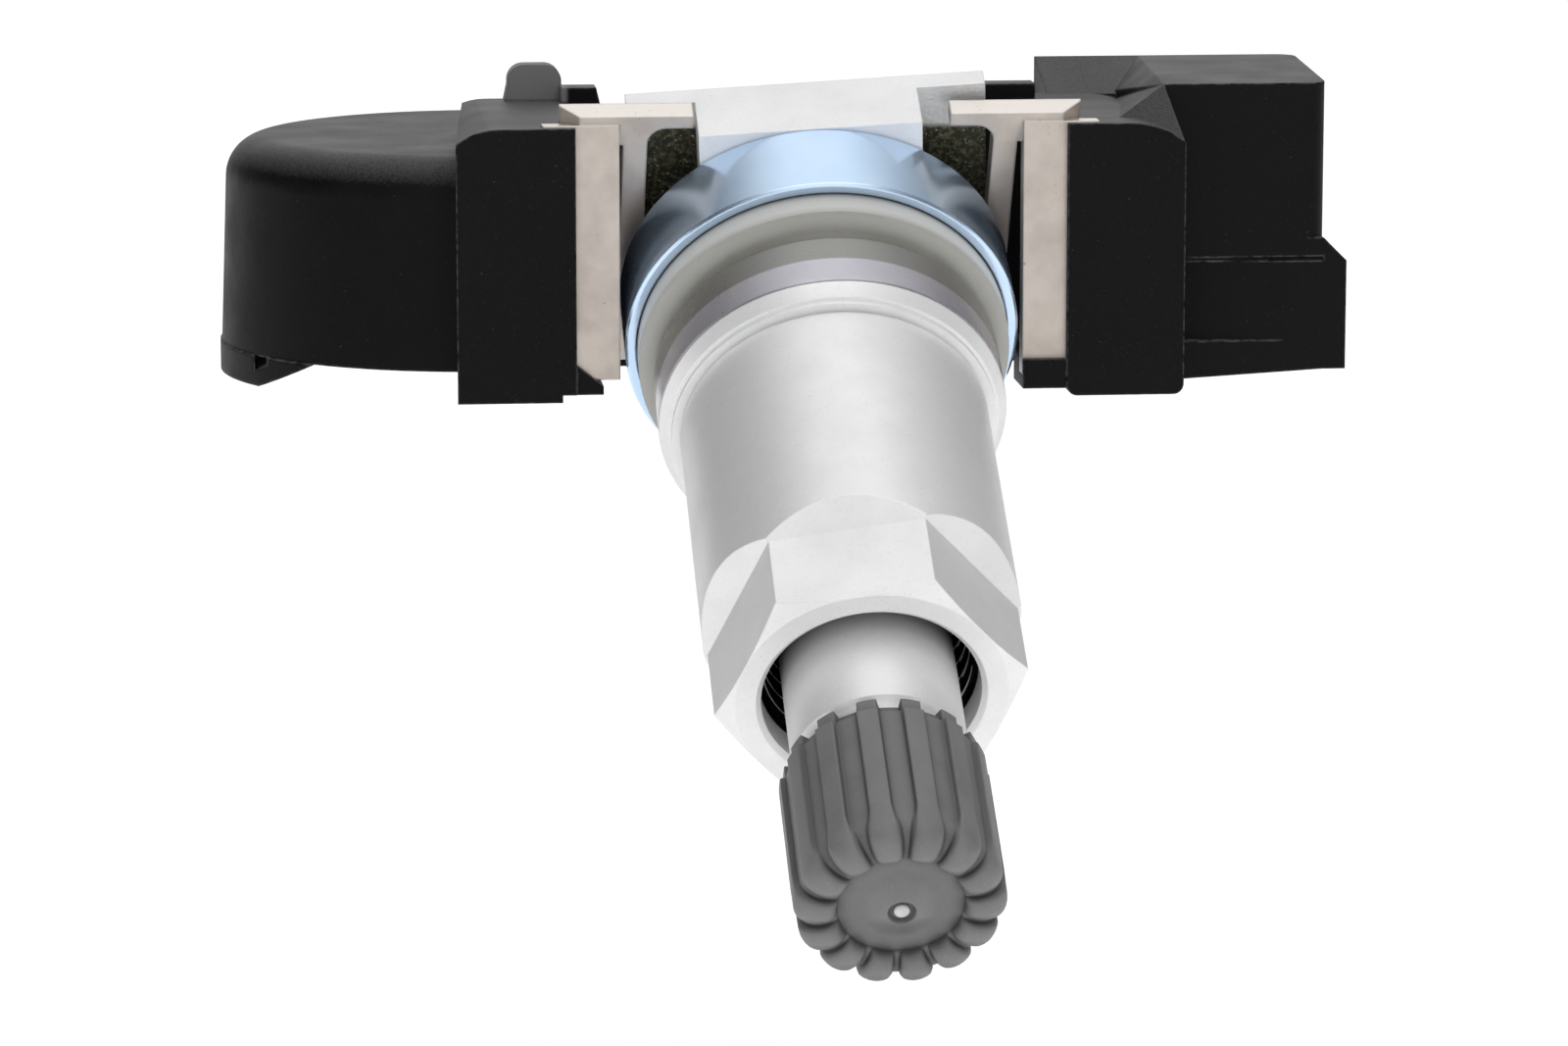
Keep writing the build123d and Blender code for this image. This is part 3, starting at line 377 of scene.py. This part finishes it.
def grommet_rubber():
    """Grey rubber with a painted highlight on the bead next to the ring and painted shade in its corners."""
    surface = Surface("grommet_rubber", colour=(0.29, 0.287, 0.258), roughness=0.34)
    patches = surface.mottle(size=2.0, colour=(0.33, 0.327, 0.297))
    grain = surface.mottle(size=0.10, colour=(0.40, 0.40, 0.365), low=0.60, high=0.85, detail=2.0)
    # Painted highlight: the bead next to the ring painted paler, where it catches the light
    bead_highlight = surface.spread(surface.along(valve_out), bead_start, bead_full)
    surface.tint(bead_highlight, colour=(0.66, 0.658, 0.635))
    # Painted shade: darkened in its corners
    surface.tint(surface.crevices(reach=1.2), colour=(0.09, 0.088, 0.075))
    surface.gloss(patches, low=0.28, high=0.40)
    surface.bump(grain, depth=0.006)
    return surface.material


def cap_plastic():
    """Matt grey plastic, with painted shade on its underside and in its grooves."""
    surface = Surface("cap_plastic", colour=grey(0.170), roughness=0.52)
    surface.round_edges(width=0.16)
    patches = surface.mottle(size=1.6, colour=(0.198, 0.204, 0.200), high=0.72)
    grain = surface.mottle(size=0.11, colour=(0.24, 0.24, 0.238), low=0.60, high=0.85, detail=2.0)
    # Painted shade: faces looking down painted darker
    surface.tint(surface.spread(surface.facing(sky), low=-0.62, high=-0.95), colour=grey(0.085))
    # Painted shade: darkened in the grooves and corners
    surface.tint(surface.crevices(reach=1.4, open_sky=0.97, deep=0.60), colour=grey(0.040))
    surface.gloss(patches, low=0.45, high=0.60)
    surface.bump(grain, depth=0.008)
    return surface.material


def bore_painted_shade():
    """Painted shade in the nut's bore: dark metal standing in for the shadow there."""
    surface = Surface("bore_painted_shade", colour=grey(0.020), roughness=0.40, metallic=1.0)
    patches = surface.mottle(size=0.6, colour=(0.036, 0.036, 0.035), low=0.40)
    surface.gloss(patches, low=0.30, high=0.44)
    surface.bump(surface.noise(size=0.12), depth=0.003)
    return surface.material


def plain_finish(name, colour, second, roughness, metallic=0.0, size=0.8):
    """Two-tone finish for small pieces."""
    smoother = 0.85
    rougher = 1.2
    relief_size = size / 4
    surface = Surface(name, colour, roughness, metallic)
    patches = surface.mottle(size, second)
    surface.gloss(patches, roughness * smoother, min(1.0, roughness * rougher))
    surface.bump(surface.noise(relief_size), depth=0.004)
    return surface.material


small_finishes = {
    "seal_rubber": dict(colour=grey(0.02), second=grey(0.035), roughness=0.6),
    "core_brass": dict(colour=(0.62, 0.42, 0.16), second=(0.52, 0.34, 0.13), roughness=0.32, metallic=1.0),
    "spring_steel": dict(colour=(0.50, 0.50, 0.51), second=(0.40, 0.40, 0.42), roughness=0.3, metallic=1.0),
    "board_laminate": dict(colour=(0.015, 0.10, 0.035), second=(0.02, 0.14, 0.05), roughness=0.35),
    "chip_resin": dict(colour=(0.012, 0.012, 0.013), second=(0.022, 0.022, 0.023), roughness=0.5),
    "can_steel": dict(colour=grey(0.56), second=(0.48, 0.48, 0.49), roughness=0.28, metallic=1.0),
    "ferrite": dict(colour=(0.03, 0.03, 0.032), second=(0.05, 0.05, 0.052), roughness=0.5),
    "copper_wire": dict(
        colour=(0.58, 0.22, 0.09), second=(0.46, 0.16, 0.06), roughness=0.35, metallic=1.0, size=0.2,
    ),
    "filter_membrane": dict(colour=(0.72, 0.72, 0.70), second=(0.62, 0.62, 0.60), roughness=0.85),
}
finishes = {
    "housing_plastic": black_plastic(),
    "satin_alloy": satin_alloy(),
    "plated_washer": plated_washer(),
    "blue_alloy": blue_alloy(),
    "nickel_sheet": nickel_sheet(),
    "grommet_rubber": grommet_rubber(),
    "cap_plastic": cap_plastic(),
}
for name, look in small_finishes.items():
    finishes[name] = plain_finish(name, **look)
for subpart in frame["record"]["subparts"]:
    mesh = frame["nodes"][subpart["node"]].data
    mesh.materials.clear()
    mesh.materials.append(finishes[subpart["material_slot"]])


# Helpers for turned and threaded pieces

crease_angle = math.radians(28.0)

# Rows that close a surface on the valve's axis keep this radius, in mm
axis_radius = 0.01


def new_piece(name, points, faces, materials):
    """Smooth-shaded object from points in metres."""
    mesh = bpy.data.meshes.new(name)
    mesh.from_pydata(points, [], faces)
    mesh.update()
    for material in materials:
        mesh.materials.append(material)
    mesh.shade_smooth()
    mesh.set_sharp_from_angle(angle=crease_angle)
    piece = bpy.data.objects.new(name, mesh)
    bpy.context.scene.collection.objects.link(piece)
    return piece


def ring_faces(rows, turns):
    """Faces between rows of points, each of which closes on itself."""
    faces = []
    for row in range(rows - 1):
        low = row * turns
        high = low + turns
        for step in range(turns):
            after = (step + 1) % turns
            faces.append((low + step, low + after, high + after, high + step))
    return faces


def lathe(rows, turns):
    """Points and faces turned about the valve; a row is a place along it and a radius for each turn."""
    points = []
    for along, radius_at in rows:
        for step in range(turns):
            turn = math.tau * step / turns
            points.append(on_valve(radius_at(turn), turn, along))
    return points, ring_faces(len(rows), turns)


def plain(radius):
    """The same radius all round."""
    return lambda turn: radius


def turned_rows(*places):
    """Rows of a plain turned surface, from places along the valve with their radii."""
    return [(along, plain(radius)) for along, radius in places]


def thread_rows(start, end, crest, valley, pitch, run_out):
    """Rows of a right-handed thread that fades out over a run-out at both ends; lengths in mm."""
    rows_per_pitch = 12
    flank_slope = 2.4
    flat_share = 0.1
    count = round((end - start) / pitch * rows_per_pitch)
    rows = []
    for index in range(count + 1):
        along = start + (end - start) * index / count
        depth = min(1.0, (along - start) / run_out, (end - along) / run_out)

        def radius_at(turn, along=along, depth=depth):
            phase = (along / pitch - turn / math.tau) % 1.0
            height = min(1.0, max(0.0, flank_slope * abs(phase - 0.5) - flat_share))
            return crest + (valley - crest) * (1.0 - height) * depth

        rows.append((along, radius_at))
    return rows


thread_turns = 96
couplings = frame["record"]["behaviour"]["couplings"]
pitches = {pair["joint"]: pair["ratio"] * math.tau / MM for pair in couplings}
nut_pitch = pitches["washer_slide"]
cap_pitch = pitches["cap_slide"]


# Valve stem with its threads

# Sizes in mm: places along the valve from the rim seat, depths from the tip, and radii
head_back, stem_tip, _ = turned_size("valve_stem")
neck_end = turned_size("support_ring")[0]
stem_thread_start = turned_size("grommet")[1]
stem_thread_end = 14.0
stem_run_out = 0.6
tube_end = 26.6
tip_run_out = 0.5
stem_shoulder_radius = 5.0
stem_crest = 4.78
stem_valley = 4.34
tube_radius = 3.85
cap_crest = 3.6
cap_valley = 3.28
end_break = 0.4
mouth_radius = 2.6
mouth_depth = 6.4
mouth_cone = 1.0
chamber_radius = 2.0
chamber_depth = 15.4
air_radius = 1.3
# How far short of the nut's end the painted shade on the stem stops
shade_margin = 0.2


def stem_head():
    """Points and faces of the cross bar and neck as built, and which faces lie behind the bracket, to take painted
    shade.
    """
    neck_overlap = 0.1
    bracket_gap = 1.0
    bracket_agreement = 0.8
    source = frame["nodes"]["valve_stem"].data
    points = [vertex.co.copy() for vertex in source.vertices]
    limit = (neck_end + neck_overlap) * MM
    faces = []
    painted_shade_faces = []
    for polygon in source.polygons:
        corners = list(polygon.vertices)
        if all(points[corner].dot(valve_out) < limit for corner in corners):
            middle = polygon.center.dot(valve_out) / MM
            agreement = polygon.normal.dot(valve_out)
            if agreement > bracket_agreement and middle < neck_end - bracket_gap:
                painted_shade_faces.append(len(faces))
            faces.append(corners)
    used = sorted({corner for face in faces for corner in face})
    place = {corner: index for index, corner in enumerate(used)}
    kept_points = [points[corner] for corner in used]
    kept_faces = [[place[corner] for corner in face] for face in faces]
    return kept_points, kept_faces, painted_shade_faces


def dressed_stem():
    """Stem with its cross bar as built, both threads, and the bore with its mouth and chamber."""
    thread_stop = stem_thread_end - end_break
    tip_stop = stem_tip - end_break
    rows = turned_rows(
        (neck_end, stem_shoulder_radius),
        (stem_thread_start, stem_shoulder_radius),
        (stem_thread_start, stem_crest),
    )
    rows += thread_rows(stem_thread_start, thread_stop, stem_crest, stem_valley, nut_pitch, stem_run_out)
    rows += turned_rows(
        (stem_thread_end, stem_crest - end_break),
        (stem_thread_end, tube_radius),
        (tube_end - end_break / 2, tube_radius),
    )
    rows += thread_rows(tube_end, tip_stop, cap_crest, cap_valley, cap_pitch, tip_run_out)
    rows += turned_rows(
        (stem_tip, cap_crest - end_break),
        (stem_tip, mouth_radius),
        (stem_tip - mouth_depth, mouth_radius),
        (stem_tip - mouth_depth - mouth_cone, chamber_radius),
        (stem_tip - chamber_depth, chamber_radius),
        (stem_tip - chamber_depth, air_radius),
        (head_back, air_radius),
    )
    points, faces = lathe(rows, thread_turns)
    head_points, head_faces, painted_shade_faces = stem_head()
    shift = len(points)
    turned_faces = len(faces)
    faces += [[corner + shift for corner in face] for face in head_faces]
    # The stem's alloy takes painted shade where it runs inside the nut
    stem_alloy = satin_alloy("stem_alloy", bore_shade_span=(stem_thread_end, turned_size("nut")[1] - shade_margin))
    stem = new_piece("threaded_stem", points + head_points, faces, [stem_alloy, shaded_bar_face()])
    # Faces behind the bracket take the painted shade
    for index in painted_shade_faces:
        stem.data.polygons[turned_faces + index].material_index = 1
    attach(stem, "valve")
    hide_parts("valve_stem")


def nut_thread():
    """Thread in the nut's bore, let into the wall of the nut, in painted shade but for the lines of its crests,
    which keep the bright alloy.
    """
    back_margin = 1.0
    end_margin = 1.6
    run_out = 0.5
    wall = 4.92
    valley = 4.83
    crest = 4.58
    crest_line_depth = 0.03
    crest_line = crest + crest_line_depth
    nut_back, nut_end, _ = turned_size("nut")
    start = nut_back + back_margin
    end = nut_end - end_margin
    rows = turned_rows((end, wall), (end, valley))
    rows += reversed(thread_rows(start, end, valley, crest, nut_pitch, run_out))
    rows += turned_rows((start, wall), (end, wall))
    points, faces = lathe(rows, thread_turns)
    # The bore takes painted shade; the lines of the crests keep the bright alloy
    thread = new_piece("nut_bore_thread", points, faces, [bore_painted_shade(), finishes["satin_alloy"]])
    for polygon in thread.data.polygons:
        middle = polygon.center / MM
        if (middle - valve_out * middle.dot(valve_out)).length < crest_line:
            polygon.material_index = 1
    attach(thread, "nut")


def wound_spring():
    """Spring of the valve core in round wire."""
    wire_radius = 0.13
    coils = 5
    steps = 36
    sides = 10
    start, end, reach = turned_size("core_spring")
    coil_radius = reach - wire_radius
    rise = end - start - 2.0 * wire_radius
    count = coils * steps
    points = []
    for step in range(count + 1):
        turn = math.tau * step / steps
        middle = start + wire_radius + rise * step / count
        for side in range(sides):
            angle = math.tau * side / sides
            radius = coil_radius + wire_radius * math.cos(angle)
            along = middle + wire_radius * math.sin(angle)
            points.append(on_valve(radius, turn, along))
    faces = ring_faces(count + 1, sides)
    faces.append(tuple(range(sides)))
    faces.append(tuple(reversed(range(count * sides, (count + 1) * sides))))
    spring = new_piece("wound_spring", points, faces, [finishes["spring_steel"]])
    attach(spring, "valve")
    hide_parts("core_spring")
    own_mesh(spring)


# Dust cap

# Count of its ribs, and sizes in mm: lengths and depths along it, heights over the dish, and radii
cap_start, cap_end, rib_radius = turned_size("cap")
cap_ribs = 14
cap_bore = 3.66
cap_floor = 0.93
valley_radius = 4.30
collar_length = 0.75
collar_drop = 0.25
collar_scallop = 0.32
collar_break = 0.05
finger_length = 2.2
finger_round = 0.95
finger_tip = 3.35
finger_end = 0.03
finger_gap = 0.48
dish_radius = 2.7
dish_depth = 0.75
dish_level = cap_end - dish_depth
dome_radius = 2.1
dome_height = 0.68
crater_radius = 0.62
crater_floor_share = 0.8
crater_depth = 0.18
gate_radius = 0.34
gate_foot = 0.2
gate_height = 0.54

# Depths under the gate mark's tip, in mm, each with its share of the mark's radius
gate_rounding = ((0.08, 1.0), (0.02, 0.8), (0.0, 0.4))

# Widths of a rib from its middle, in pitches, and how much its finger adds to them
rib_half_width = 0.215
rib_flank = 0.06
finger_half_width_gain = 0.095
finger_flank_gain = 0.06


def quarter(first, second, part):
    """Point on a quarter of an ellipse that leaves the first point along the valve and ends square to it."""
    angle = part * math.pi / 2.0
    along = first[0] + (second[0] - first[0]) * math.sin(angle)
    radius = second[1] + (first[1] - second[1]) * math.cos(angle)
    return along, radius


def over_edge(side, crest, part):
    """From the side round over a crest and down into the dish."""
    turn_over = 0.6
    if part <= turn_over:
        return quarter((crest - finger_round, side), (crest, finger_tip), part / turn_over)
    drop = (part - turn_over) / (1.0 - turn_over) * math.pi / 2.0
    radius = finger_tip - (finger_tip - dish_radius) * math.sin(drop)
    return dish_level + (crest - dish_level) * math.cos(drop), radius


def cap_side(start, radius, crest):
    """Outside of the cap from its collar along the side, over a crest and down to the dish."""
    edge_rows = 16
    finger_rises = (0.0, 0.3, 0.6)
    collar_end = cap_start + collar_length
    rows = [
        (start, radius - collar_drop - collar_break),
        (start + collar_break, radius - collar_drop),
        (collar_end, radius - collar_drop),
        (collar_end + collar_break, radius - collar_break),
        (collar_end + 2 * collar_break, radius),
    ]
    rows += [(cap_end - finger_length + rise, radius) for rise in finger_rises]
    rows += [over_edge(radius, crest, index / edge_rows) for index in range(edge_rows + 1)]
    return rows


def cap_end_rows():
    """Round dome in the dish and the small crater round the gate mark."""
    dome_rows = 14
    rows = []
    for index in range(dome_rows + 1):
        radius = dome_radius + (crater_radius - dome_radius) * index / dome_rows
        rise = dome_height * (0.5 + 0.5 * math.cos(math.pi * radius / dome_radius))
        rows.append((dish_level + rise, radius))
    crater_level = rows[-1][0] - crater_depth
    rows.append((crater_level, crater_radius * crater_floor_share))
    rows.append((crater_level, axis_radius))
    return rows


def cap_profile(start, radius, crest):
    """Rows of the cap from the middle of its floor inside, round its wall, to the middle of its end."""
    inner_end = cap_end - cap_floor
    inside = [(inner_end, axis_radius), (inner_end, cap_bore), (start, cap_bore)]
    return inside + cap_side(start, radius, crest) + cap_end_rows()


def across_rib(tip):
    """Places from the middle of a rib to the middle of the next, in pitches, each with its share of the rib.

    The ribs are straight along the side and widen to rounded fingers where tip goes to 1.
    """
    flank_steps = 7
    top_shares = (0.0, 0.35, 0.7)
    half_width = rib_half_width + finger_half_width_gain * tip
    flank = rib_flank + finger_flank_gain * tip
    rib_end = half_width + flank
    straight = [(half_width * share, 1.0) for share in top_shares]
    for index in range(flank_steps + 1):
        part = index / flank_steps
        straight.append((half_width + flank * part, 1.0 - part * part * (3.0 - 2.0 * part)))
    half = []
    for place, share in straight:
        bulb = math.sqrt(max(0.0, 1.0 - (place / rib_end) ** 2))
        half.append((place, share + (bulb - share) * tip))
    half.append(((rib_end + 0.5) / 2.0, 0.0))
    return half + [(1.0 - place, share) for place, share in reversed(half[1:])]


def moulded_cap():
    """Cap with its collar, ribs that end in fingers, dish and dome."""
    rib = cap_profile(cap_start, rib_radius, cap_end - finger_end)
    valley = cap_profile(cap_start + collar_scallop, valley_radius, cap_end - finger_gap)
    pitch = math.tau / cap_ribs
    first_turn = math.pi / 2.0
    points = []
    for low, high in zip(valley, rib):
        tip = min(1.0, max(0.0, 1.0 - (cap_end - high[0]) / finger_length))
        steps = across_rib(tip)
        for index in range(cap_ribs):
            for place, share in steps:
                along = low[0] + (high[0] - low[0]) * share
                radius = low[1] + (high[1] - low[1]) * share
                points.append(on_valve(radius, first_turn + (index + 0.5 + place) * pitch, along))
    turns = cap_ribs * len(across_rib(0.0))
    cap = new_piece("moulded_cap", points, ring_faces(len(valley), turns), [finishes["cap_plastic"]])
    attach(cap, "cap")
    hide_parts("cap")


def cap_gate():
    """Small pale mark where the cap's mould was filled, in the middle of the crater."""
    gate_turns = 24
    tip = dish_level + gate_height
    rounded = [(tip - depth, gate_radius * share) for depth, share in gate_rounding]
    rows = turned_rows((dish_level + gate_foot, gate_radius), *rounded, (tip, axis_radius))
    points, faces = lathe(rows, gate_turns)
    pale = plain_finish("gate_plastic", (0.62, 0.62, 0.61), (0.50, 0.50, 0.49), roughness=0.5, size=0.3)
    gate = new_piece("cap_gate", points, faces, [pale])
    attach(gate, "cap")


dressed_stem()
nut_thread()
wound_spring()
moulded_cap()
cap_gate()


# Studio

white = (1.0, 1.0, 1.0, 1.0)

# Pale floor under the part: sizes in mm, and how strongly it glows
floor_drop = 20.0
floor_half = 4000.0
floor_glow = 0.50
floor_level = cad_box[0].z / MM - floor_drop
floor_sides = [(-1, -1), (1, -1), (1, 1), (-1, 1)]
floor_points = [Vector((x * floor_half, y * floor_half, floor_level)) * MM for x, y in floor_sides]
floor_mesh = bpy.data.meshes.new("floor")
floor_mesh.from_pydata(floor_points, [], [(0, 1, 2, 3)])
floor = bpy.data.objects.new("floor", floor_mesh)
bpy.context.scene.collection.objects.link(floor)
floor_paper = Surface("floor_paper", colour=grey(0.92), roughness=0.9)
floor_paper.mottle(size=60.0, colour=grey(0.90), low=0.3)
floor_paper.put("Emission Color", white)
floor_paper.put("Emission Strength", floor_glow)
floor_mesh.materials.append(floor_paper.material)

# Soft surroundings, bright in front and behind and dark at the sides: levels, and where they fade in
front_level = 1.10
back_level = 1.02
middle_level = 1.0
left_level = 0.02
right_level = 0.12
front_fade = (0.60, 0.95)
left_fade = (-0.10, -0.75)
right_fade = (0.15, 0.80)
front_direction = (0.0, -0.985, 0.174)
world = bpy.data.worlds.new("studio")
world.use_nodes = True
around = Graph(world.node_tree)
direction = around.node("ShaderNodeTexCoord").outputs["Generated"]
to_front = around.dot(direction, front_direction)
to_side = around.dot(direction, across)
front = around.spread(to_front, *front_fade, back_level, front_level, interpolation="SMOOTHSTEP")
left = around.spread(to_side, *left_fade, middle_level, left_level, interpolation="SMOOTHSTEP")
right = around.spread(to_side, *right_fade, middle_level, right_level, interpolation="SMOOTHSTEP")
background = world.node_tree.nodes["Background"]
background.inputs["Color"].default_value = white
around.link(around.product(front, around.product(left, right)), background.inputs["Strength"])
bpy.context.scene.world = world
bpy.context.scene.view_settings.view_transform = "Standard"


def softbox(name, place, aim, width, depth, watts):
    """Rectangular soft light at a place, turned to what it lights, in mm."""
    light = bpy.data.lights.new(name, "AREA")
    light.shape = "RECTANGLE"
    light.size = width * MM
    light.size_y = depth * MM
    light.energy = watts
    lamp = bpy.data.objects.new(name, light)
    lamp.location = Vector(place) * MM
    lamp.rotation_mode = "QUATERNION"
    lamp.rotation_quaternion = (Vector(aim) - Vector(place)).to_track_quat("-Z", "Y")
    bpy.context.scene.collection.objects.link(lamp)


softbox("top_light", place=(0.0, -100.0, 420.0), aim=(0.0, 5.0, 0.0), width=420.0, depth=420.0, watts=0.38)
for name, side in (("left_light", -420.0), ("right_light", 420.0)):
    softbox(name, place=(side, -160.0, 200.0), aim=(0.0, 0.0, 0.0), width=260.0, depth=360.0, watts=0.05)

# Camera of the photograph
camera_turn = math.radians(-5.55)
camera_rise = math.radians(10.0)
camera_place = Vector((-28.09, -268.75, 40.54))
camera_back = Vector((
    math.sin(camera_turn) * math.cos(camera_rise),
    -math.cos(camera_turn) * math.cos(camera_rise),
    math.sin(camera_rise),
))
camera_data = bpy.data.cameras.new("camera")
camera_data.lens = 135.0
camera_data.sensor_width = 36.0
camera_data.clip_start = 0.01
camera_data.clip_end = 20.0
camera = bpy.data.objects.new("camera", camera_data)
camera.location = camera_place * MM
camera.rotation_mode = "QUATERNION"
camera.rotation_quaternion = (-camera_back).to_track_quat("-Z", "Y")
bpy.context.scene.collection.objects.link(camera)
bpy.context.scene.camera = camera
